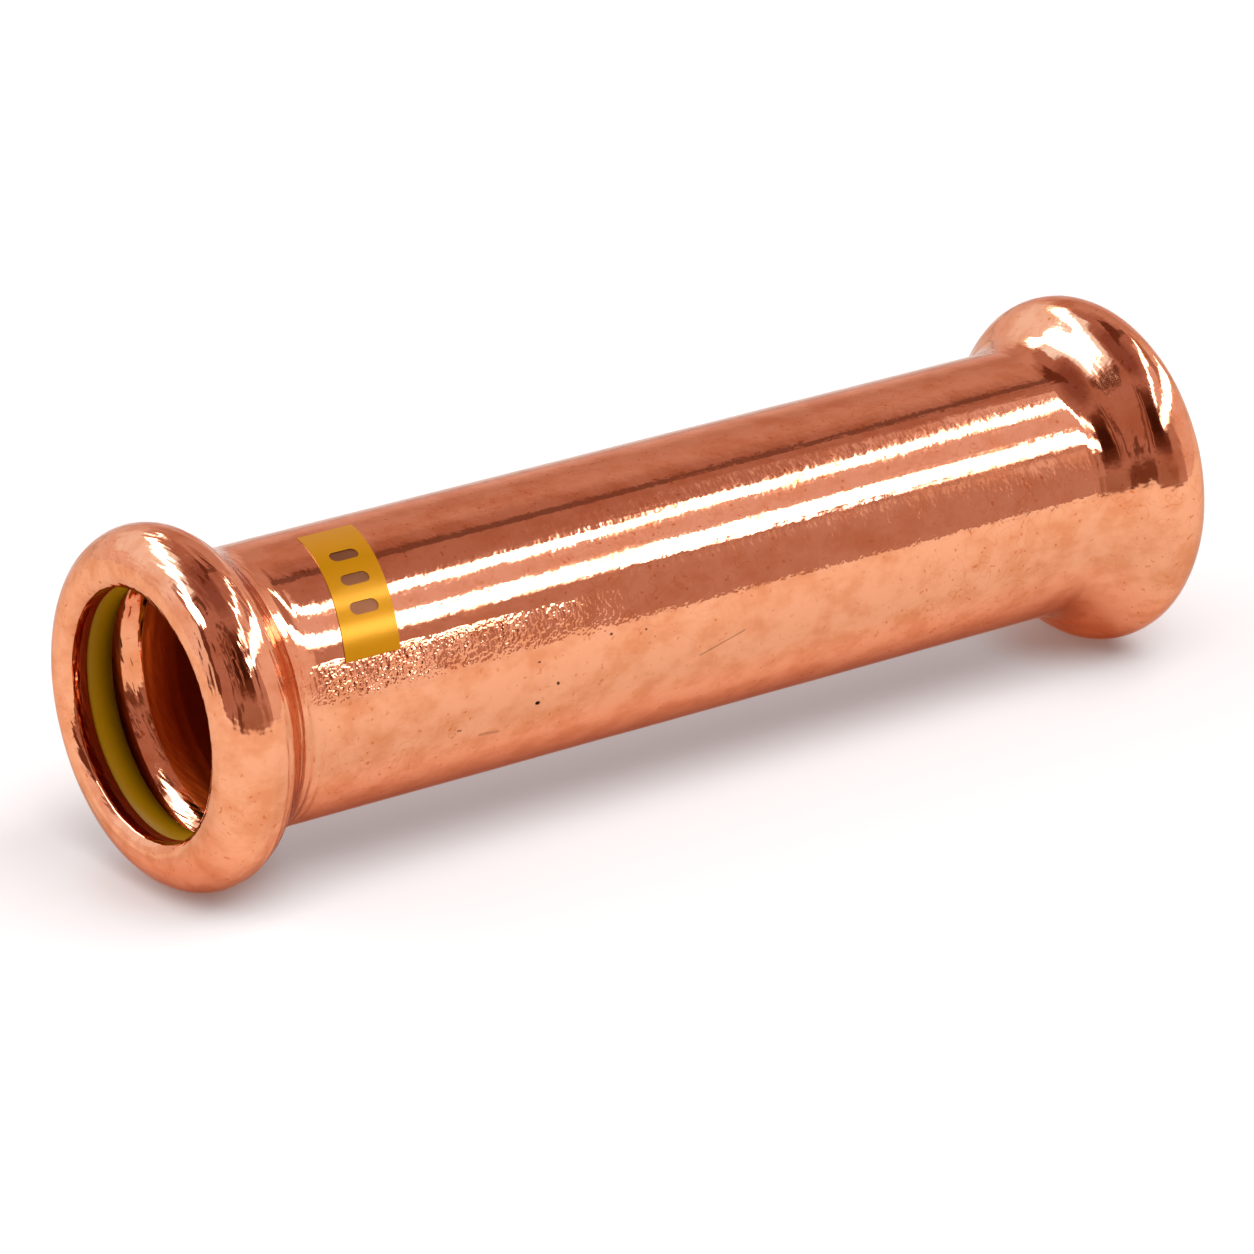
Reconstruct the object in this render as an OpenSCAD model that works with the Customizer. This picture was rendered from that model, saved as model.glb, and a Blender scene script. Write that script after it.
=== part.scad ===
// Press slip coupling for copper pipe: one tube with a rolled bead at each end, a seal ring in each bead
// and an ink mark on the tube. It stands on its lower end, with its axis on Z and its origin at the foot.

/* [Pipe] */
// Outside diameter of the pipe that the coupling joins
pipe_d = 15; // [12:0.5:22]
// Room between the pipe and the bore, on each side
pipe_play = 0.1; // [0.05:0.05:0.3]

/* [Body] */
// Length over both ends
length = 72.5; // [40:0.5:120]
// Thickness of the copper
wall = 0.85; // [0.6:0.05:1]
// How much wider the mouth is than the bore, on each side
mouth_ease = 0.05; // [0.02:0.01:0.12]

/* [Bead] */
// Height of the bead above the tube
bead_rise = 2.55; // [2.3:0.05:2.8]
// Outside radius of the bead's round back
crest_r = 2.7; // [2.6:0.05:3]
// Outside radius of the bead's front edge
nose_r = 1.5; // [1.35:0.05:1.7]
// How far the middle of the front edge lies outside the tube's own surface
nose_out = 0.3; // [0.1:0.05:0.5]
// Width of the flat that the front edge is pressed to
flat_w = 0.5; // [0.2:0.1:0.8]
// Angle of the lip, curled back into the mouth
curl = 40; // [30:1:50]
// Angle of the straight slope behind the bead
slope = 43; // [38:1:48]
// Outside radius of the hollow where the slope runs into the tube
heel_r = 3.7; // [2.5:0.1:5]

/* [Seal] */
// Thickness of the seal ring
seal_d = 2.5; // [2.2:0.05:2.6]
// Room between the seal ring and the lip that holds it in the bead
seal_play = 0.05; // [0.03:0.01:0.12]
// How much smaller than the pipe the ring's inside is, on each side
seal_grip = 0.08; // [0.02:0.01:0.12]

/* [Mark] */
// Size of the ink mark across the tube
mark_l = 9.2; // [5:0.1:12]
// Size of the ink mark along the tube
mark_w = 3.8; // [2.5:0.1:7]
// How far the mark runs down the tube for each millimetre across it
mark_lead = 0.2; // [0:0.05:0.4]
// Height of the mark's middle above the lower end
mark_z = 12.5; // [11:0.1:40]
// Side of the tube that the mark faces, in degrees round from X
mark_side = 211.5; // [0:0.5:360]
// Thickness of the ink
ink = 0.05; // [0.02:0.01:0.1]
// Number of bare windows in the mark
windows = 3; // [1:1:4]
// Length of a window, along the tube
window_l = 1.9; // [1:0.1:2.2]
// Width of a window
window_w = 0.8; // [0.4:0.1:1.4]
// Distance from one window to the next
window_pitch = 1.9; // [1.6:0.1:2.1]

/* [Hidden] */
$fn = 144;

// Neighbouring arcs and lines lap by this much, so that they cross instead of only touching
lap = 0.0005;

bore_r = pipe_d / 2 + pipe_play;
mouth_r = bore_r + mouth_ease;
tube_r = bore_r + wall;

// The section is drawn as [distance from the axis, height], and an angle in it turns from outward to up
function toward(a) = [cos(a), sin(a)];
function across(a) = [-sin(a), cos(a)];

crest_out = tube_r + bead_rise - crest_r;
nose = [tube_r + nose_out, nose_r];
crest = [crest_out, nose_r + sqrt(pow(crest_r - nose_r, 2) - pow(nose[0] - crest_out, 2))];
handover = atan2(nose[1] - crest[1], nose[0] - crest[0]);

// The heel is limited to what the bead's height leaves for it
heel = min(heel_r, 0.98 * bead_rise / (1 - cos(slope)) - crest_r);
slope_run = (bead_rise - (crest_r + heel) * (1 - cos(slope))) / sin(slope);
slope_top = crest + crest_r * toward(slope);
slope_foot = slope_top + slope_run * across(slope);
heel_middle = slope_foot + heel * toward(slope);

// End of the lip's round stretch at the depth d under the outside, and the straight stretch that goes on from it
function lip(d) = nose + (nose_r - d) * toward(-90 - curl);
function lip_at(d, r) = [r, lip(d)[1] + (lip(d)[0] - r) * tan(curl)];

// The ring lies against the inside of the lip
seal_out = pipe_d / 2 - seal_grip + seal_d / 2;
seal_middle = lip_at(wall, seal_out) + [0, (seal_d / 2 + seal_play) / cos(curl)];
flat_h = nose_r - sqrt(pow(nose_r, 2) - pow(flat_w / 2, 2));

// Half plane on the bead's back side of the line where the nose hands over to the crest
module behind_handover() {
    reach = 3 * crest_r;
    translate(crest) rotate(handover) translate([-reach, 0]) square([2 * reach, reach]);
}

// Everything from the axis out to the surface that lies d under the copper's outside, up to the middle
module filled_to(d) {
    lip_in = mouth_r - wall - d;
    middle = length / 2 + 1;
    translate(nose) circle(nose_r - d + 2 * lap);
    intersection() {
        translate(crest) circle(crest_r - d + lap);
        behind_handover();
    }
    difference() {
        polygon([
            lip_at(d, lip_in), lip(d), nose, crest,
            crest + (crest_r - d) * toward(slope),
            heel_middle - (heel + d) * toward(slope),
            heel_middle,
            [tube_r - d, heel_middle[1]],
            [tube_r - d, middle],
            [lip_in, middle]
        ]);
        translate(heel_middle) circle(heel + d + lap);
    }
}

// Section of the copper from the lower end to just past the middle, with its face at height 0
module lower_section() {
    translate([0, -flat_h]) difference() {
        filled_to(0);
        filled_to(wall);
        square([mouth_r, crest[1] + crest_r - wall]);
        translate([0, flat_h - nose_r]) square([nose[0] + nose_r, nose_r]);
    }
}

module coupling_body() {
    color("#e08a66") rotate_extrude() {
        lower_section();
        translate([0, length]) mirror([0, 1]) lower_section();
    }
}

// Turns what is drawn for the lower end over, to the upper end
module upper_end() {
    translate([0, 0, length]) mirror([0, 0, 1]) children();
}

module seal_ring() {
    color("#8a6a14")
        translate([0, 0, seal_middle[1] - flat_h])
            rotate_extrude() translate([seal_middle[0], 0]) circle(seal_d / 2);
}

// A window is a round-ended slot, drawn flat with its length along the tube
module window() {
    run = max(window_l - window_w, 0.1);
    square([window_w, run], center = true);
    for (end = [-1, 1]) translate([0, end * run / 2]) circle(window_w / 2);
}

// The mark as it is printed, seen flat: X runs round the tube and Y along it
module mark_print() {
    function edge(x, y) = [x, y - mark_lead * x];
    difference() {
        polygon([
            edge(-mark_l / 2, -mark_w / 2), edge(mark_l / 2, -mark_w / 2),
            edge(mark_l / 2, mark_w / 2), edge(-mark_l / 2, mark_w / 2)
        ]);
        for (i = [0 : windows - 1])
            translate(edge((i - (windows - 1) / 2) * window_pitch, 0)) window();
    }
}

module yellow_mark() {
    color("#d89a14")
        intersection() {
            difference() {
                translate([0, 0, mark_z - length / 4]) cylinder(r = tube_r + ink, h = length / 2);
                translate([0, 0, mark_z - length / 4 - 1]) cylinder(r = tube_r, h = length / 2 + 2);
            }
            translate([0, 0, mark_z])
                rotate([0, 0, mark_side]) rotate([90, 0, 90])
                    linear_extrude(tube_r + 1) mark_print();
        }
}

coupling_body();
seal_ring();  // lower_seal_ring
upper_end() seal_ring();  // upper_seal_ring
yellow_mark();
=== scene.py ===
import math

import bpy
import numpy as np
from mathutils import Matrix, Vector


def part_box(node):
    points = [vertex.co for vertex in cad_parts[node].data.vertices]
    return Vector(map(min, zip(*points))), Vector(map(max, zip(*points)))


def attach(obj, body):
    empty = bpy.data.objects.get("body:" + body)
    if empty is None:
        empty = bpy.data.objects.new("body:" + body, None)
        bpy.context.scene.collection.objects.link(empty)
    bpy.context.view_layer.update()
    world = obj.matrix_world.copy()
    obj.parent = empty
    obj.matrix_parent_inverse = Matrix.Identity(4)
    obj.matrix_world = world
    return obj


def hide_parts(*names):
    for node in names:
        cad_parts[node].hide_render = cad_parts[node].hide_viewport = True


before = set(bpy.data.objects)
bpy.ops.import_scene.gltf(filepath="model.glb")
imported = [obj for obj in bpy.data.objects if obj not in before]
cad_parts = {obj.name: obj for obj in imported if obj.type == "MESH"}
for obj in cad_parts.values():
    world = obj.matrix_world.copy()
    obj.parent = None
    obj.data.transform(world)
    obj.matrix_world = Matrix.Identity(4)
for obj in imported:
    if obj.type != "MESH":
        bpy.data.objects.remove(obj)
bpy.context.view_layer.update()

# A press slip coupling of copper: a tube with a rolled bead at each end, two seal rings and an ink mark.
# It stands on its lower end. Everything is in metres, but for values whose name ends in Mm or Degrees.

millimetre = 0.001
bodyLow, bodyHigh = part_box("coupling_body")
bodyLengthMm = (bodyHigh.z - bodyLow.z) / millimetre
floorX = bodyHigh.x      # the beads would touch a floor here if the coupling lay on its side
beadTouchMm = 3.0        # this far from either end


# Small helpers for shader nodes

def addNode(tree, kind, sockets=None, **settings):
    made = tree.nodes.new(kind)
    for name, value in settings.items():
        setattr(made, name, value)
    for name, value in (sockets or {}).items():
        if isinstance(value, bpy.types.NodeSocket):
            tree.links.new(value, made.inputs[name])
        else:
            made.inputs[name].default_value = value
    return made


def calc(tree, operation, *values):
    return addNode(tree, "ShaderNodeMath", dict(enumerate(values)), operation=operation).outputs[0]


def calcVector(tree, operation, first, second=None):
    # gives a vector, or a number where the operation measures one; what SCALE takes second is a number
    sockets = {0: first}
    if second is not None:
        sockets["Scale" if operation == "SCALE" else 1] = second
    made = addNode(tree, "ShaderNodeVectorMath", sockets, operation=operation)
    measures = operation in ("DOT_PRODUCT", "LENGTH", "DISTANCE")
    return made.outputs["Value" if measures else "Vector"]


def dot(tree, vector, direction):
    return calcVector(tree, "DOT_PRODUCT", vector, tuple(direction))


def ramp(tree, value, low, high, atLow=0.0, atHigh=1.0):
    # goes smoothly from atLow, where value is low, to atHigh, where it is high
    sockets = {"Value": value, "From Min": low, "From Max": high, "To Min": atLow, "To Max": atHigh}
    return addNode(tree, "ShaderNodeMapRange", sockets, interpolation_type="SMOOTHSTEP").outputs["Result"]


def blendColour(tree, factor, first, second):
    # the first colour where the factor is 0, the second where it is 1
    made = addNode(tree, "ShaderNodeMix", data_type="RGBA")
    for index, value in ((0, factor), (6, first), (7, second)):
        if isinstance(value, bpy.types.NodeSocket):
            tree.links.new(value, made.inputs[index])
        else:
            made.inputs[index].default_value = value
    return made.outputs[2]


def strongest(tree, masks):
    # the largest of several masks at each point
    top = masks[0]
    for mask in masks[1:]:
        top = calc(tree, "MAXIMUM", top, mask)
    return top


def fromLine(tree, place, start, end):
    # distance from the straight stretch between two points: the nearest point lies at the share of it
    # that the offset from the start covers, kept between 0 and 1
    step = end - start
    offset = calcVector(tree, "SUBTRACT", place, tuple(start))
    share = calc(tree, "DIVIDE", dot(tree, offset, step), step.length_squared)
    share = addNode(tree, "ShaderNodeClamp", {"Value": share}).outputs[0]
    return calcVector(tree, "DISTANCE", offset, calcVector(tree, "SCALE", tuple(step), share))


def newMaterial(name):
    material = bpy.data.materials.new(name)
    material.use_nodes = True
    material.node_tree.nodes.clear()
    return material, material.node_tree


# Camera. The photograph looks at the coupling lying on its side, so its upward direction is the frame's -X

cameraView = {
    "turnDegrees": 35.555,       # from square-on towards the far end
    "tiltDegrees": 22.088,       # downwards
    "distance": 0.4310,
    "aimRight": 0.028528,        # the point at the picture's middle, from the middle of the lower face
    "aimUp": 0.005258,
    "focalPixels": 7442.4,       # on a picture that is pictureWidth wide
    "pictureWidth": 1254,
    "sensorMm": 36.0,
}
turn = math.radians(cameraView["turnDegrees"])
tilt = math.radians(cameraView["tiltDegrees"])
studioUp = Vector((-1, 0, 0))
studioRight = Vector((0, -math.sin(turn), math.cos(turn)))
studioAway = Vector((0, math.cos(turn), math.sin(turn)))


def studioDirection(lonDegrees, latDegrees):
    # from the coupling towards a point of the studio: lon 0 is the viewer's side, lon 90 is the right,
    # and lat is the angle above the floor
    lon, lat = math.radians(lonDegrees), math.radians(latDegrees)
    level = math.sin(lon) * studioRight - math.cos(lon) * studioAway
    return math.cos(lat) * level + math.sin(lat) * studioUp


def makeCamera():
    forward = math.cos(tilt) * studioAway - math.sin(tilt) * studioUp
    upward = math.sin(tilt) * studioAway + math.cos(tilt) * studioUp
    aim = cameraView["aimRight"] * studioRight + cameraView["aimUp"] * upward
    place = aim - cameraView["distance"] * forward
    data = bpy.data.cameras.new("camera")
    data.sensor_width = cameraView["sensorMm"]
    data.lens = cameraView["focalPixels"] / cameraView["pictureWidth"] * cameraView["sensorMm"]
    data.clip_start = 0.01
    camera = bpy.data.objects.new("camera", data)
    turned = Matrix((studioRight, upward, -forward)).transposed()
    camera.matrix_world = Matrix.Translation(place) @ turned.to_4x4()
    bpy.context.scene.collection.objects.link(camera)
    bpy.context.scene.camera = camera


makeCamera()
print("camera ready")


# Studio: soft boxes as area lamps, a dim room as the world, and a pale floor

softBoxes = {
    # name: lon and lat of its middle, its width and height as angles, its roll, its brightness
    "leftBox": {"lon": -103, "lat": 50.5, "wide": 80, "high": 13, "roll": -2, "level": 6.5},
    "lowStrip": {"lon": 100, "lat": 34.9, "wide": 90, "high": 9.0, "roll": 20, "level": 6.5},
    "highStrip": {"lon": 101, "lat": 55.3, "wide": 66, "high": 4.4, "roll": 13, "level": 6.5},
}
shineTint = (0.84, 1.0, 1.22)      # cool, as the copper takes most of its blue away

# The copper mirrors the soft boxes. They are too narrow for a soft shadow, so these light what is matt
softLights = {
    "rightTop": {"lon": 54, "lat": 64, "wide": 70, "high": 42, "roll": 0, "level": 3.85},
    "leftLow": {"lon": -86, "lat": 30.6, "wide": 97, "high": 47, "roll": 0, "level": 1.8},
}
boxDistance = 1.6                  # of all of them from the coupling's lower end
wattsPerLevel = math.pi            # an area lamp's watts for each square metre and unit of brightness


def panelAxes(panel):
    # a panel's outward direction, its long way and its rise, seen from the coupling
    outward = studioDirection(panel["lon"], panel["lat"])
    level = outward.cross(studioUp).normalized()
    upward = level.cross(outward)
    roll = math.radians(panel["roll"])
    across = math.cos(roll) * level + math.sin(roll) * upward
    return outward, across, across.cross(outward)


def makeLamp(name, box, tint):
    outward, across, rise = panelAxes(box)
    lamp = bpy.data.lights.new(name, "AREA")
    lamp.shape = "RECTANGLE"
    lamp.size = 2 * boxDistance * math.tan(math.radians(box["wide"] / 2))
    lamp.size_y = 2 * boxDistance * math.tan(math.radians(box["high"] / 2))
    lamp.energy = box["level"] * wattsPerLevel * lamp.size * lamp.size_y
    lamp.color = tint
    holder = bpy.data.objects.new(name, lamp)
    turned = Matrix((-across, rise, outward)).transposed()
    holder.matrix_world = Matrix.Translation(boxDistance * outward) @ turned.to_4x4()
    holder.visible_camera = False
    bpy.context.scene.collection.objects.link(holder)
    return holder


def makeLamps():
    for name, box in softBoxes.items():
        makeLamp(name, box, shineTint).visible_diffuse = False
    for name, box in softLights.items():
        makeLamp(name, box, (1, 1, 1)).visible_glossy = False


# The room is dim, and these soft-edged patches of light and dark lie over it, one after the other
roomColour = (0.45, 0.27, 0.25)
roomFill = (0.10, 0.10, 0.10)      # what matt surfaces get from it
roomPatches = {
    # name: lon of its middle, half its width, its lowest and highest lat, its edge's softness, its colour
    "ceiling": {"lon": 0, "half": 400, "low": 70, "high": 200, "soft": 16, "colour": (0.27, 0.13, 0.12)},
    "behind": {"lon": 180, "half": 34, "low": -90, "high": 44, "soft": 10, "colour": (0.62, 0.44, 0.43)},
    "behindLow": {"lon": 180, "half": 34, "low": -90, "high": 13, "soft": 16, "colour": (0.93, 0.74, 0.76)},
    "behindHigh": {"lon": 166, "half": 15, "low": 53, "high": 84, "soft": 4, "colour": (0.15, 0.06, 0.04)},
    "rightWall": {"lon": 114, "half": 38, "low": -90, "high": 31, "soft": 5, "colour": (0.88, 0.75, 0.78)},
    "rightCorner": {"lon": 60, "half": 16, "low": -90, "high": 32, "soft": 5, "colour": (0.54, 0.37, 0.36)},
    "betweenStrips": {"lon": 96, "half": 42, "low": 42, "high": 55, "soft": 3, "colour": (0.80, 0.66, 0.72)},
    "leftWall": {"lon": -112, "half": 56, "low": -90, "high": 24, "soft": 8, "colour": (0.92, 0.86, 0.92)},
    "leftGlow": {"lon": -122, "half": 36, "low": 14, "high": 44, "soft": 6, "colour": (1.0, 1.12, 1.32)},
    "leftHalo": {"lon": -105, "half": 42, "low": 39, "high": 62, "soft": 5, "colour": (1.05, 1.45, 1.9)},
    "frontLow": {"lon": 18, "half": 34, "low": -90, "high": 14, "soft": 5, "colour": (0.40, 0.25, 0.22)},
    "frontDim": {"lon": 21, "half": 28, "low": 20, "high": 61, "soft": 10, "colour": (0.15, 0.06, 0.04)},
    "frontDark": {"lon": 22, "half": 14, "low": 29, "high": 51, "soft": 14, "colour": (0.05, 0.014, 0.008)},
    "frontBand": {"lon": 3, "half": 1.6, "low": 22, "high": 56, "soft": 3, "colour": (0.50, 0.30, 0.25)},
    "frontStripe": {"lon": -16, "half": 2.2, "low": 14, "high": 58, "soft": 3, "colour": (0.16, 0.07, 0.05)},
    "frontFoot": {"lon": -12, "half": 9, "low": -4, "high": 11, "soft": 5, "colour": (0.18, 0.08, 0.055)},
    "leftDark": {"lon": -51, "half": 7, "low": 43, "high": 61, "soft": 6, "colour": (0.16, 0.07, 0.05)},
    "frontLeft": {"lon": -52, "half": 9, "low": -90, "high": 30, "soft": 5, "colour": (0.15, 0.06, 0.04)},
    "darkLine": {"lon": 152.5, "half": 3.2, "low": 46, "high": 58, "soft": 2, "colour": (0.20, 0.11, 0.10)},
}


def makeRoom():
    world = bpy.data.worlds.new("room")
    bpy.context.scene.world = world
    world.cycles.sampling_method = "NONE"      # no strong light comes from the room
    world.use_nodes = True
    tree = world.node_tree
    tree.nodes.clear()
    direction = addNode(tree, "ShaderNodeTexCoord").outputs["Generated"]
    height = calc(tree, "MULTIPLY", calc(tree, "ARCSINE", dot(tree, direction, studioUp)), math.degrees(1))
    colour = (*roomColour, 1)
    for patch in roomPatches.values():
        # the angle sideways from the patch's middle, on either side
        middle = studioDirection(patch["lon"], 0)
        sideways = dot(tree, direction, middle.cross(studioUp))
        aside = calc(tree, "ARCTAN2", sideways, dot(tree, direction, middle))
        aside = calc(tree, "MULTIPLY", calc(tree, "ABSOLUTE", aside), math.degrees(1))
        half, soft = patch["half"], patch["soft"] / 2
        share = ramp(tree, aside, half - soft, half + soft, 1, 0)
        rising = ramp(tree, height, patch["low"] - soft, patch["low"] + soft)
        falling = ramp(tree, height, patch["high"] - soft, patch["high"] + soft, 1, 0)
        share = calc(tree, "MULTIPLY", share, calc(tree, "MULTIPLY", rising, falling))
        colour = blendColour(tree, share, colour, (*patch["colour"], 1))
    ray = addNode(tree, "ShaderNodeLightPath")
    colour = blendColour(tree, ray.outputs["Is Diffuse Ray"], colour, (*roomFill, 1))
    colour = blendColour(tree, ray.outputs["Is Camera Ray"], colour, (1, 1, 1, 1))
    room = addNode(tree, "ShaderNodeBackground", {"Color": colour, "Strength": 1.0})
    addNode(tree, "ShaderNodeOutputWorld", {"Surface": room.outputs[0]})


floorFinish = {
    "size": 8.0,
    "colour": (0.67, 0.67, 0.67, 1),
    "glow": (0.36, 0.28, 0.27, 1),           # with what the lamps add, the open floor comes to white
    "touchPaintedShade": (0.27, 0.13, 0.10, 1),      # instead of it where a bead touches the floor: painted contact shadow, warmed as painted bounce light from the copper
    "touchShadeReachMm": (2.0, 7.5),              # that is full up to the first distance and gone at the second
    "mirroredGlow": (0.20, 0.155, 0.15, 1),  # what the copper mirrors of the floor
    "underPaintedBounce": (0.38, 0.11, 0.05, 1),      # and right under itself, where its own colour lies on it: painted copper-coloured bounce light
    "underReachMm": (3, 15),
}


def makeFloor():
    half = floorFinish["size"] / 2
    mesh = bpy.data.meshes.new("paleFloor")
    corners = [(floorX, y, z) for y, z in ((-half, -half), (-half, half), (half, half), (half, -half))]
    mesh.from_pydata(corners, [], [(0, 1, 2, 3)])
    mesh.update()
    floor = bpy.data.objects.new("paleFloor", mesh)
    bpy.context.scene.collection.objects.link(floor)
    material, tree = newMaterial("paleFloor")
    matt = addNode(tree, "ShaderNodeBsdfDiffuse", {"Color": floorFinish["colour"]})
    place = addNode(tree, "ShaderNodeTexCoord").outputs["Object"]
    heights = (beadTouchMm, bodyLengthMm - beadTouchMm)
    touches = [Vector((floorX, 0, height * millimetre)) for height in heights]
    # near each touch the floor's glow gives way to the painted contact shadow
    full, gone = (reach * millimetre for reach in floorFinish["touchShadeReachMm"])
    shown = floorFinish["glow"]
    for touch in touches:
        apart = calcVector(tree, "DISTANCE", place, tuple(touch))
        shown = blendColour(tree, ramp(tree, apart, full, gone, 1, 0), shown, floorFinish["touchPaintedShade"])
    # under the coupling, what the copper mirrors of the floor takes the painted bounce light
    full, gone = (reach * millimetre for reach in floorFinish["underReachMm"])
    underneath = ramp(tree, fromLine(tree, place, *touches), full, gone, 1, 0)
    mirrored = blendColour(tree, underneath, floorFinish["mirroredGlow"], floorFinish["underPaintedBounce"])
    glossyRay = addNode(tree, "ShaderNodeLightPath").outputs["Is Glossy Ray"]
    colour = blendColour(tree, glossyRay, shown, mirrored)
    glow = addNode(tree, "ShaderNodeEmission", {"Color": colour, "Strength": 1.0})
    both = addNode(tree, "ShaderNodeAddShader", {0: matt.outputs[0], 1: glow.outputs[0]})
    # from below, the camera looks through it
    below = addNode(tree, "ShaderNodeNewGeometry").outputs["Backfacing"]
    clear = addNode(tree, "ShaderNodeBsdfTransparent")
    either = addNode(tree, "ShaderNodeMixShader", {0: below, 1: both.outputs[0], 2: clear.outputs[0]})
    addNode(tree, "ShaderNodeOutputMaterial", {"Surface": either.outputs[0]})
    mesh.materials.append(material)


makeLamps()
makeRoom()
makeFloor()
print("studio ready")


# Copper body

bodyShape = {
    "boreRadiusMm": 7.6,
    "mouthRadiusMm": 7.65,
    "wallMm": 0.85,
    "beadRiseMm": 2.55,
    "crestRadiusMm": 2.7,
    "noseRadiusMm": 1.5,
    "noseOutMm": 0.3,
    "flatWidthMm": 0.5,
    "curlDegrees": 40,
    "slopeDegrees": 43,
    "heelRadiusMm": 3.7,
    "lipSoftnessMm": 0.13,
    "polishedMm": (4.56, 4.68, 5.56, 5.72),  # the bead's inside shines between the middle two heights
    "stepsAround": 172,
}


def heading(degrees):
    # a step of length 1 in the section, outward at 0 and up at 90
    angle = np.radians(degrees)
    return np.stack([np.cos(angle), np.sin(angle)], -1)


def arc(centre, radius, start, end, count):
    # points at one radius from the centre, at equal angles
    return np.asarray(centre) + radius * heading(np.linspace(start, end, count))


def line(start, end, count):
    # points at equal steps from start to end
    share = np.linspace(0, 1, count)[:, None]
    return (1 - share) * np.asarray(start) + share * np.asarray(end)


def softCorner(before, corner, after, reach, count):
    # a curve that leaves one straight side reach before the corner and joins the other reach behind it:
    # the start weighs the square of what is left, the corner twice both, and the end the square of the share
    before, corner, after = (np.asarray(point, float) for point in (before, corner, after))
    start = corner + reach * (before - corner) / np.linalg.norm(before - corner)
    end = corner + reach * (after - corner) / np.linalg.norm(after - corner)
    share = np.linspace(0, 1, count)[:, None]
    return (1 - share) ** 2 * start + 2 * share * (1 - share) * corner + share ** 2 * end


def bodyProfile():
    # The section as distance from the axis and height, from the outside's middle round the lower end
    # to the bore's middle, in millimetres, and then mirrored about the middle. The two arcs of the bead
    # meet where the line through their centres cuts them, and the slope touches the crest and the heel
    shape = bodyShape
    tubeRadius = shape["boreRadiusMm"] + shape["wallMm"]
    slope, curl = shape["slopeDegrees"], shape["curlDegrees"]
    crestRadius, noseRadius = shape["crestRadiusMm"], shape["noseRadiusMm"]
    heelRadius = shape["heelRadiusMm"]
    nose = np.array([tubeRadius + shape["noseOutMm"], noseRadius])
    crestOut = tubeRadius + shape["beadRiseMm"] - crestRadius
    gap = crestRadius - noseRadius
    crest = np.array([crestOut, noseRadius + math.sqrt(gap ** 2 - (nose[0] - crestOut) ** 2)])
    handover = math.degrees(math.atan2(nose[1] - crest[1], nose[0] - crest[0]))
    # the straight slope has what the crest and the heel leave of the bead's rise
    turned = math.radians(slope)
    slopeRise = shape["beadRiseMm"] - (crestRadius + heelRadius) * (1 - math.cos(turned))
    slopeFoot = crest + crestRadius * heading(slope) + slopeRise / math.sin(turned) * heading(slope + 90)
    heel = slopeFoot + heelRadius * heading(slope)
    flatHeight = noseRadius - math.sqrt(noseRadius ** 2 - (shape["flatWidthMm"] / 2) ** 2)
    drop = np.array([0, -flatHeight])

    def skin(depth, fine):
        # the copper's surface at this depth below its outside, from the tube to the end of the curl
        slopeTop = crest + (crestRadius - depth) * heading(slope)
        return np.vstack([
            arc(heel, heelRadius + depth, 180, 180 + slope, fine + 10),
            line(slopeFoot - depth * heading(slope), slopeTop, 10)[1:-1],
            arc(crest, crestRadius - depth, slope, handover, 2 * fine),
            arc(nose, noseRadius - depth, handover, -90 - curl, fine)[1:],
        ]) + drop

    outside, inside = skin(0, 27), skin(shape["wallMm"], 15)
    outside[:, 1] = np.maximum(outside[:, 1], 0)
    mouth = shape["mouthRadiusMm"]
    rise = math.tan(math.radians(curl))
    lipLow = np.array([mouth, outside[-1][1] + (outside[-1][0] - mouth) * rise])
    lipHigh = np.array([mouth, inside[-1][1] + (inside[-1][0] - mouth) * rise])
    soft = shape["lipSoftnessMm"]
    middle = bodyLengthMm / 2
    # each stretch comes with how dull its copper is, from 0 for polished to 1; the dull copper is also
    # painted darker and redder as shade of the hollow
    cavity = np.interp(inside[::-1][:, 1], shape["polishedMm"], [1, 0, 0, 1])
    stretches = [
        (line([tubeRadius, middle], outside[0], 50)[:-1], 0),
        (outside[:-1], 0),
        (softCorner(outside[-1], lipLow, lipHigh, soft, 7), 0),
        (softCorner(lipLow, lipHigh, inside[-1], soft, 7), 1),
        (inside[::-1], cavity),
        (line(inside[0], [shape["boreRadiusMm"], middle], 24)[1:], 1),
    ]
    half = np.vstack([points for points, dullShaded in stretches])
    dullAndShaded = np.concatenate([np.broadcast_to(dullShaded, len(points)) for points, dullShaded in stretches])
    upper = half[::-1] * [1, -1] + [0, bodyLengthMm]
    return np.vstack([half[:-1], upper[:-1]]), np.concatenate([dullAndShaded[:-1], dullAndShaded[::-1][:-1]])


def gridObject(name, points, material):
    # points has a row for each step along the section and a column for each step around, and both ways
    # close; the faces look outward if the section runs clockwise, seen with the axis on its left
    rows, columns = points.shape[:2]
    index = np.arange(rows * columns).reshape(rows, columns)
    below, beside = np.roll(index, -1, 0), np.roll(index, -1, 1)
    faces = np.stack([index, below, np.roll(beside, -1, 0), beside], -1).reshape(-1, 4)
    mesh = bpy.data.meshes.new(name)
    mesh.from_pydata(points.reshape(-1, 3), [], faces)
    mesh.update()
    mesh.shade_smooth()
    mesh.materials.append(material)
    made = bpy.data.objects.new(name, mesh)
    bpy.context.scene.collection.objects.link(made)
    return made


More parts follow.
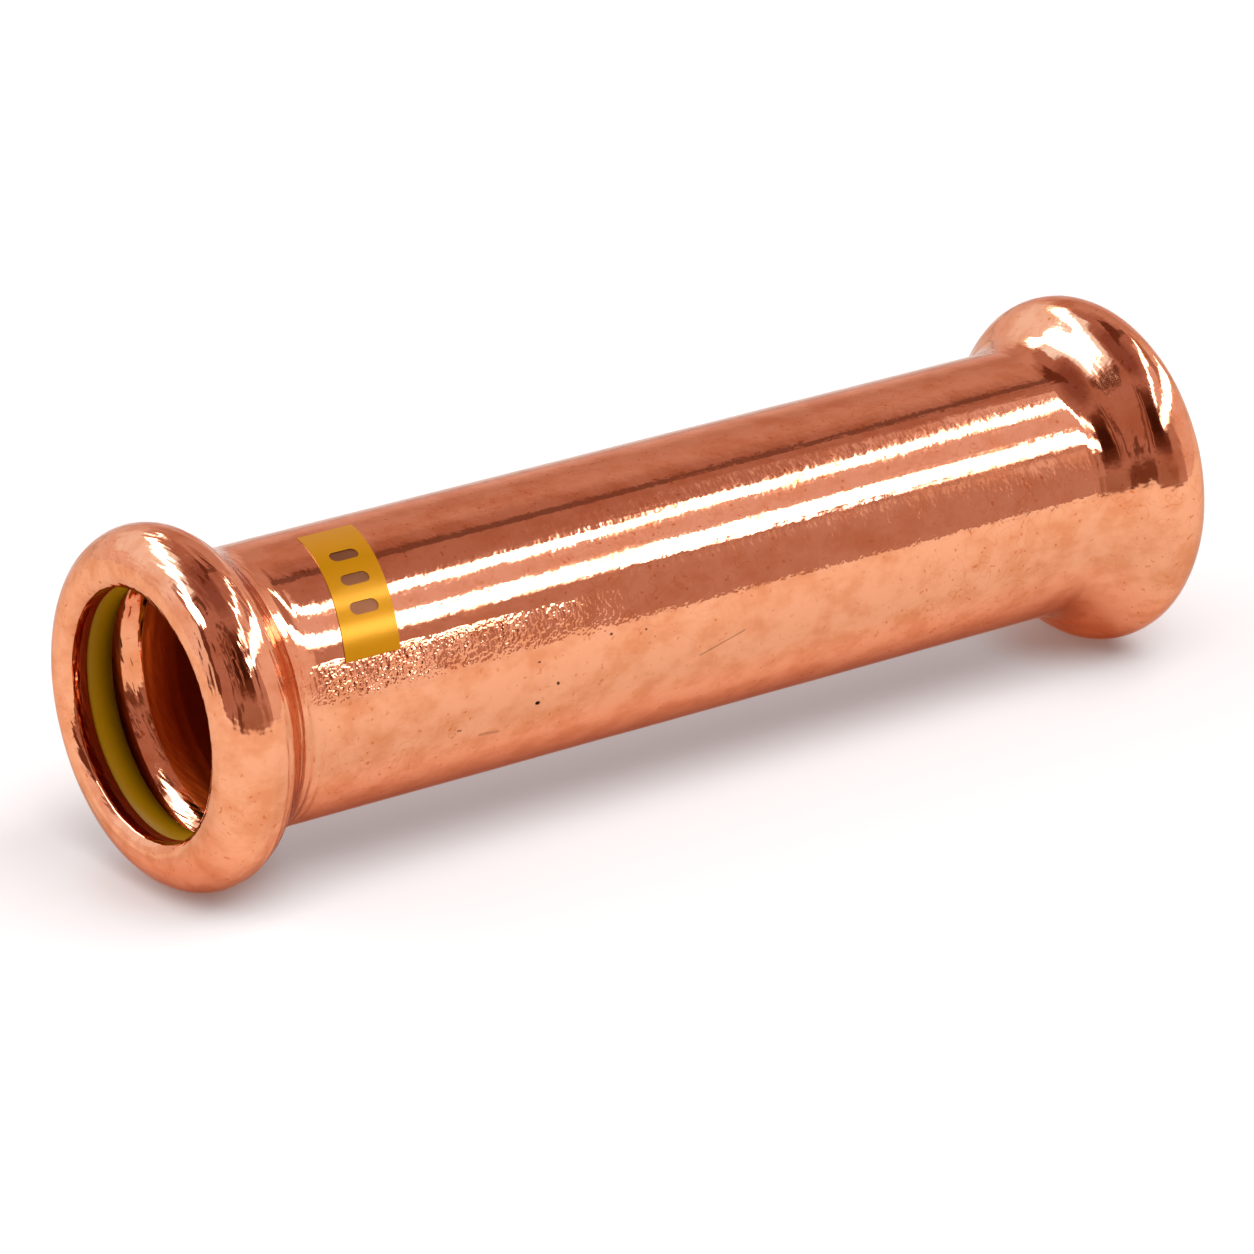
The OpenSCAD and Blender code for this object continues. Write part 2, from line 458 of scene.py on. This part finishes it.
unevenness = {
    # kind: how strong, its random seed, how many waves it sums up, their turns round the body, their lengths
    "tube": {"liftMm": 0.004, "seed": 3, "waves": 24, "turns": (2, 9), "lengthsMm": (6, 30)},
    "bead": {"liftMm": 0.007, "seed": 5, "waves": 30, "turns": (2, 14), "lengthsMm": (2.2, 8)},
    "ridges": {"liftMm": 0.014, "seed": 8, "waves": 9, "turns": (0, 2), "lengthsMm": (0.6, 1.5)},
    "grooves": {"liftMm": 0.007, "seed": 9, "waves": 14, "turns": (0, 3), "lengthsMm": (0.4, 0.9)},
}

# Heights from the nearer end
beadToTubeMm = (5.5, 8.5)          # between them the bead's kinds give way to the tube's
ridgesMm = (2.6, 3.8, 7.6, 9.8)    # where the ridges round the bead's back start, are full, fade and end
upperShare = 0.4                   # how strong the ridges and grooves are on the upper bead

dents = [
    # height, side, reach and depth; the side is counted from the photograph's upward direction
    {"heightMm": 67.6, "sideDegrees": 5.0, "reachMm": 0.75, "depthMm": 0.05},
    {"heightMm": 67.0, "sideDegrees": 22.0, "reachMm": 0.9, "depthMm": 0.03},
    {"heightMm": 1.3, "sideDegrees": 34.0, "reachMm": 0.6, "depthMm": 0.03},
]


def ripples(kind, around, heightMm):
    # a sum of waves that run round and along the body, each with its own turns, length, way and start
    shape = unevenness[kind]
    count = shape["waves"]
    fewest, most = shape["turns"]
    random = np.random.default_rng(shape["seed"])
    total = np.zeros(np.broadcast(around, heightMm).shape)
    for turnCount, length, start in zip(random.integers(fewest, most + 1, count),
                                        random.uniform(*shape["lengthsMm"], count),
                                        random.uniform(0, math.tau, count)):
        way = random.choice([-1, 1])
        total += np.cos(way * turnCount * around + math.tau * heightMm / length + start)
    return shape["liftMm"] * total / math.sqrt(count)


def sideAngle(sideDegrees):
    # the angle round from X; the photograph's upward direction is at half a turn
    return math.radians(180 + sideDegrees)


def bodyLift(radius, height, around):
    # how far the surface is pushed out: the ripples of each zone, less the dents, whose depth falls off
    # as a bell curve with the distance from their middles
    fromEnd = np.minimum(height, bodyLengthMm - height)
    onBead = np.interp(fromEnd, beadToTubeMm, [1, 0])
    ringed = np.where(height < bodyLengthMm / 2, 1, upperShare)
    lift = (1 - onBead) * ripples("tube", around, height) + onBead * ripples("bead", around, height)
    lift = lift + ringed * np.interp(fromEnd, ridgesMm, [0, 1, 1, 0]) * ripples("ridges", around, height)
    lift = lift + ringed * onBead * ripples("grooves", around, height)
    for dent in dents:
        turned = around - sideAngle(dent["sideDegrees"])
        outward = radius * np.cos(turned) - radius
        apart = outward ** 2 + (radius * np.sin(turned)) ** 2 + (height - dent["heightMm"]) ** 2
        lift = lift - dent["depthMm"] * np.exp(-apart / dent["reachMm"] ** 2)
    return lift


def makeBody(material):
    # the section is turned round the axis, and each point is moved by its lift along the section's normal
    profile, dullAndShaded = bodyProfile()
    tangent = np.roll(profile, -1, 0) - np.roll(profile, 1, 0)
    normal = np.stack([-tangent[:, 1], tangent[:, 0]], -1)
    normal /= np.linalg.norm(normal, axis=1)[:, None]
    around = np.linspace(0, math.tau, bodyShape["stepsAround"], endpoint=False)[None, :]
    radius, height = profile[:, :1], profile[:, 1:]
    lift = bodyLift(radius, height, around)
    ring = radius + normal[:, :1] * lift
    up = np.clip(height + normal[:, 1:] * lift, 0, bodyLengthMm)
    points = np.stack([ring * np.cos(around), ring * np.sin(around), up], -1) * millimetre
    body = gridObject("copperBody", points, material)
    # how dull the copper is at each point, which also paints the shade inside the hollow
    finish = body.data.attributes.new("dullAndShaded", "FLOAT", "POINT")
    finish.data.foreach_set("value", np.repeat(dullAndShaded, around.size).astype(np.float32))
    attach(body, "root")
    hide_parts("coupling_body")


copperFinish = {
    "colour": (0.94, 0.41, 0.22, 1),
    "edge": (0.76, 0.66, 0.60, 1),       # how much of the mirroring is left at a glancing angle
    "stain": (0.72, 0.21, 0.07, 1),
    "stainShare": 0.55,                  # of the stain's colour in a cloud, and in a hairline
    "hairlineShare": 0.30,
    "dullShaded": (0.56, 0.085, 0.010, 1),     # of the bore and the bead's inside: rougher, and painted darker and redder as shade of the hollow
    "dullShadedEdge": (0.42, 0.11, 0.04, 1),
    "window": (0.27, 0.105, 0.045, 1),   # in the windows of the ink mark
    "dirt": (0.02, 0.01, 0.008, 1),
    "roughness": (0.06, 0.125),          # of clear and of stained copper
    "dullRoughness": 0.45,               # more than that where it isn't polished
}

copperRelief = {
    # heights in units of unitMm
    "unitMm": 0.1,
    "drawn": 0.03,                 # lines drawn along the tube
    "wrinkles": 0.16,
    "rolledLower": 0.40,           # lines round the lower bead, and round the upper one
    "rolledUpper": 0.08,
    "rolledMidMm": (20, 50),       # the heights between which the one gives way to the other
    "rolledFineness": 2600,        # how fine the lines are, to the metre
    "rolledChange": 7.0,           # how fast they change on the way round
    "peel": 1.25,                  # orange peel on a stripe beside the mark
    "peelElsewhere": 0.03,         # as a share of that
    "peelSideDegrees": 71.5,       # the stripe's middle, and how far from it the peel is full and gone
    "peelFullDegrees": 5,
    "peelGoneDegrees": 10,
    "peelFade": {"fromMm": 14, "toMm": 33, "start": 1.5, "end": 0.06},
}

copperNoises = {
    # name: how fine it is across the axis and along it, to the metre, its detail, its roughness
    "cloud": (520, 380, 3, 0.62),
    "broad": (110, 60, 0, 0.5),
    "specks": (2700, 2700, 1, 0.5),
    "curls": (650, 650, 1, 0.55),
    "drawn": (4200, 45, 0, 0.5),
    "wrinkles": (760, 1000, 2, 0.6),
    "peel": (3000, 3300, 1, 0.6),
    "patches": (260, 420, 0, 0.5),
}

blemishes = [
    # height and side of both ends of each speck or scratch, half its width, and how dark it is
    {"from": (22.65, 102.1), "to": (22.75, 102.2), "halfMm": 0.13, "dark": 1.0},
    {"from": (27.95, 80.6), "to": (28.0, 80.6), "halfMm": 0.09, "dark": 0.8},
    {"from": (30.46, 82.4), "to": (30.5, 82.5), "halfMm": 0.07, "dark": 0.7},
    {"from": (24.06, 95.3), "to": (24.1, 95.6), "halfMm": 0.10, "dark": 0.9},
    {"from": (22.71, 84.1), "to": (22.8, 84.2), "halfMm": 0.07, "dark": 0.7},
    {"from": (17.1, 105.3), "to": (17.3, 105.5), "halfMm": 0.08, "dark": 0.6},
    {"from": (18.8, 110.5), "to": (20.1, 111.4), "halfMm": 0.12, "dark": 0.28},
    {"from": (34.5, 100.4), "to": (37.7, 94.3), "halfMm": 0.06, "dark": 0.35},
]

# Height and side of the middle of each window in the mark, and how far the dull copper in it reaches
markWindows = [(12.88, 18.6), (12.5, 31.5), (12.12, 44.4)]
windowReachMm = 1.2


def tubePoint(heightMm, sideDegrees):
    radius = bodyShape["boreRadiusMm"] + bodyShape["wallMm"]
    angle = sideAngle(sideDegrees)
    return Vector((radius * math.cos(angle), radius * math.sin(angle), heightMm)) * millimetre


def noise(tree, place, name):
    # cloudy values about 0.5
    across, along, detail, roughness = copperNoises[name]
    stretched = calcVector(tree, "MULTIPLY", place, (across, across, along))
    sockets = {"Vector": stretched, "Scale": 1.0, "Detail": detail, "Roughness": roughness}
    return addNode(tree, "ShaderNodeTexNoise", sockets).outputs["Fac"]


def stainMask(tree, place, cloud):
    # clouds, specks, and curly hairlines where one noise crosses its middle value
    broad, specks, curls = (noise(tree, place, name) for name in ("broad", "specks", "curls"))
    clouded = calc(tree, "MULTIPLY", ramp(tree, cloud, 0.36, 0.70), copperFinish["stainShare"])
    hairline = calc(tree, "ABSOLUTE", calc(tree, "SUBTRACT", curls, 0.5))
    hairline = calc(tree, "MULTIPLY", ramp(tree, hairline, 0.0, 0.016, 1, 0), ramp(tree, broad, 0.42, 0.62))
    hairline = calc(tree, "MULTIPLY", hairline, copperFinish["hairlineShare"])
    many = ramp(tree, broad, 0.35, 0.6, 0.3, 0.8)
    speckled = calc(tree, "MULTIPLY", ramp(tree, specks, 0.67, 0.76), many)
    total = calc(tree, "ADD", calc(tree, "ADD", clouded, hairline), speckled)
    return addNode(tree, "ShaderNodeClamp", {"Value": total}).outputs[0]


def blemishMask(tree, place):
    masks = []
    for blemish in blemishes:
        away = fromLine(tree, place, tubePoint(*blemish["from"]), tubePoint(*blemish["to"]))
        reach = blemish["halfMm"] * millimetre
        masks.append(ramp(tree, away, 0.6 * reach, 1.3 * reach, blemish["dark"], 0))
    return strongest(tree, masks)


def windowMask(tree, place):
    masks = []
    for window in markWindows:
        away = calcVector(tree, "DISTANCE", place, tuple(tubePoint(*window)))
        reach = windowReachMm * millimetre
        masks.append(ramp(tree, away, reach, 1.05 * reach, 1, 0))
    return strongest(tree, masks)


def peelHeight(tree, place, height, outward):
    # full on a stripe of the tube beside the mark, and fading with the height
    relief = copperRelief
    side = sideAngle(relief["peelSideDegrees"])
    gone, full = (math.cos(math.radians(relief[name])) for name in ("peelGoneDegrees", "peelFullDegrees"))
    fade = relief["peelFade"]
    low, high = fade["fromMm"] * millimetre, fade["toMm"] * millimetre
    patches = noise(tree, place, "patches")
    peeled = ramp(tree, dot(tree, outward, (math.cos(side), math.sin(side), 0)), gone, full)
    peeled = calc(tree, "MULTIPLY", peeled, ramp(tree, height, low, high, fade["start"], fade["end"]))
    peeled = calc(tree, "MULTIPLY", peeled, ramp(tree, patches, 0.35, 0.60, 0.6, 1.15))
    return calc(tree, "MULTIPLY", calc(tree, "ADD", peeled, relief["peelElsewhere"]), relief["peel"])


def makeRelief(tree, place):
    # the sum of drawn lines, wrinkles, orange peel and the lines that the rolling left round the beads
    relief = copperRelief
    height = addNode(tree, "ShaderNodeSeparateXYZ", {0: place}).outputs["Z"]
    flat = calcVector(tree, "MULTIPLY", place, (1, 1, 0))
    outward = calcVector(tree, "NORMALIZE", flat)
    fromEnd = calc(tree, "MINIMUM", height, calc(tree, "SUBTRACT", bodyHigh.z, height))
    low, high = (end * millimetre for end in beadToTubeMm)
    onBead = ramp(tree, fromEnd, low, high, 1, 0)
    onTube = calc(tree, "SUBTRACT", 1.0, onBead)

    # the rolled lines are noise over the section that changes slowly on the way round
    across = calc(tree, "MULTIPLY", calcVector(tree, "LENGTH", flat), relief["rolledFineness"])
    along = calc(tree, "MULTIPLY", height, relief["rolledFineness"])
    section = addNode(tree, "ShaderNodeCombineXYZ", {0: across, 1: along}).outputs[0]
    section = calcVector(tree, "ADD", section, calcVector(tree, "SCALE", outward, relief["rolledChange"]))
    sockets = {"Vector": section, "Scale": 1.0, "Detail": 1.0}
    rolled = addNode(tree, "ShaderNodeTexNoise", sockets).outputs["Fac"]
    low, high = (end * millimetre for end in relief["rolledMidMm"])
    rolledHeight = ramp(tree, height, low, high, relief["rolledLower"], relief["rolledUpper"])
    peeled = calc(tree, "MULTIPLY", peelHeight(tree, place, height, outward), onTube)

    heights = calc(tree, "MULTIPLY", noise(tree, place, "drawn"), relief["drawn"])
    heights = calc(tree, "MULTIPLY_ADD", noise(tree, place, "wrinkles"), relief["wrinkles"], heights)
    heights = calc(tree, "MULTIPLY_ADD", noise(tree, place, "peel"), peeled, heights)
    heights = calc(tree, "MULTIPLY_ADD", rolled, calc(tree, "MULTIPLY", onBead, rolledHeight), heights)
    sockets = {"Height": heights, "Strength": 1.0, "Distance": relief["unitMm"] * millimetre}
    return addNode(tree, "ShaderNodeBump", sockets).outputs[0]


def makeCopper():
    material, tree = newMaterial("copper")
    finish = copperFinish
    place = addNode(tree, "ShaderNodeTexCoord").outputs["Object"]
    cloud = noise(tree, place, "cloud")
    dirty = blemishMask(tree, place)
    inWindow = windowMask(tree, place)
    dullAndShaded = addNode(tree, "ShaderNodeAttribute", attribute_name="dullAndShaded").outputs["Fac"]
    dullAndShaded = ramp(tree, dullAndShaded, 0.25, 0.75)

    colour = blendColour(tree, stainMask(tree, place, cloud), finish["colour"], finish["stain"])
    colour = blendColour(tree, dirty, colour, finish["dirt"])
    colour = blendColour(tree, inWindow, colour, finish["window"])
    # inside the bore and the bead the colour and the glancing reflection are painted darker and redder as
    # shade of the hollow
    colour = blendColour(tree, dullAndShaded, colour, finish["dullShaded"])
    edge = blendColour(tree, dullAndShaded, finish["edge"], finish["dullShadedEdge"])
    notPolished = strongest(tree, [dullAndShaded, dirty, inWindow])
    roughness = ramp(tree, cloud, 0.35, 0.75, *finish["roughness"])
    roughness = calc(tree, "MULTIPLY_ADD", notPolished, finish["dullRoughness"], roughness)

    sockets = {"Base Color": colour, "Metallic": 1.0, "Specular Tint": edge, "Roughness": roughness,
               "Normal": makeRelief(tree, place)}
    shader = addNode(tree, "ShaderNodeBsdfPrincipled", sockets)
    addNode(tree, "ShaderNodeOutputMaterial", {"Surface": shader.outputs[0]})
    return material


makeBody(makeCopper())
print("body ready")


# Seal rings

ringFinish = {"colour": (0.38, 0.172, 0.0006, 1), "roughness": 0.42, "shine": 0.09}
ringSteps = {"aroundAxis": 160, "aroundRubber": 40}


def makeRubber():
    material, tree = newMaterial("sealRubber")
    shader = addNode(tree, "ShaderNodeBsdfPrincipled",
                     {"Base Color": ringFinish["colour"], "Roughness": ringFinish["roughness"],
                      "Specular IOR Level": ringFinish["shine"]})
    addNode(tree, "ShaderNodeOutputMaterial", {"Surface": shader.outputs[0]})
    return material


def makeRing(name, node, material):
    # a torus, whose middle and thickness come from the frame's own ring
    low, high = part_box(node)
    thick = (high.z - low.z) / 2
    middle = high.x - thick
    around = np.linspace(0, math.tau, ringSteps["aroundAxis"], endpoint=False)[None, :]
    across = -np.linspace(0, math.tau, ringSteps["aroundRubber"], endpoint=False)[:, None]
    radius = middle + thick * np.cos(across)
    height = (low.z + high.z) / 2 + thick * np.sin(across)
    points = np.stack([radius * np.cos(around), radius * np.sin(around), height + 0 * around], -1)
    ring = gridObject(name, points, material)
    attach(ring, "root")
    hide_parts(node)


rubber = makeRubber()
makeRing("lowerRing", "lower_seal_ring", rubber)
makeRing("upperRing", "upper_seal_ring", rubber)
print("rings ready")


# Ink mark

inkFinish = {"colour": (0.56, 0.235, 0.003, 1), "roughness": 0.19, "metallic": 0.3, "shine": 0.17}


def makeInk():
    material, tree = newMaterial("yellowInk")
    shader = addNode(tree, "ShaderNodeBsdfPrincipled",
                     {"Base Color": inkFinish["colour"], "Roughness": inkFinish["roughness"],
                      "Metallic": inkFinish["metallic"], "Specular IOR Level": inkFinish["shine"]})
    addNode(tree, "ShaderNodeOutputMaterial", {"Surface": shader.outputs[0]})
    return material


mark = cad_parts["yellow_mark"]
mark.data.materials.clear()
mark.data.materials.append(makeInk())
print("mark ready")


# Render settings that belong to the look

scene = bpy.context.scene
scene.view_settings.view_transform = "Standard"
scene.cycles.max_bounces = 8      # the copper mirrors itself in the beads, and throws no spots of light
scene.cycles.glossy_bounces = 8
scene.cycles.caustics_reflective = False
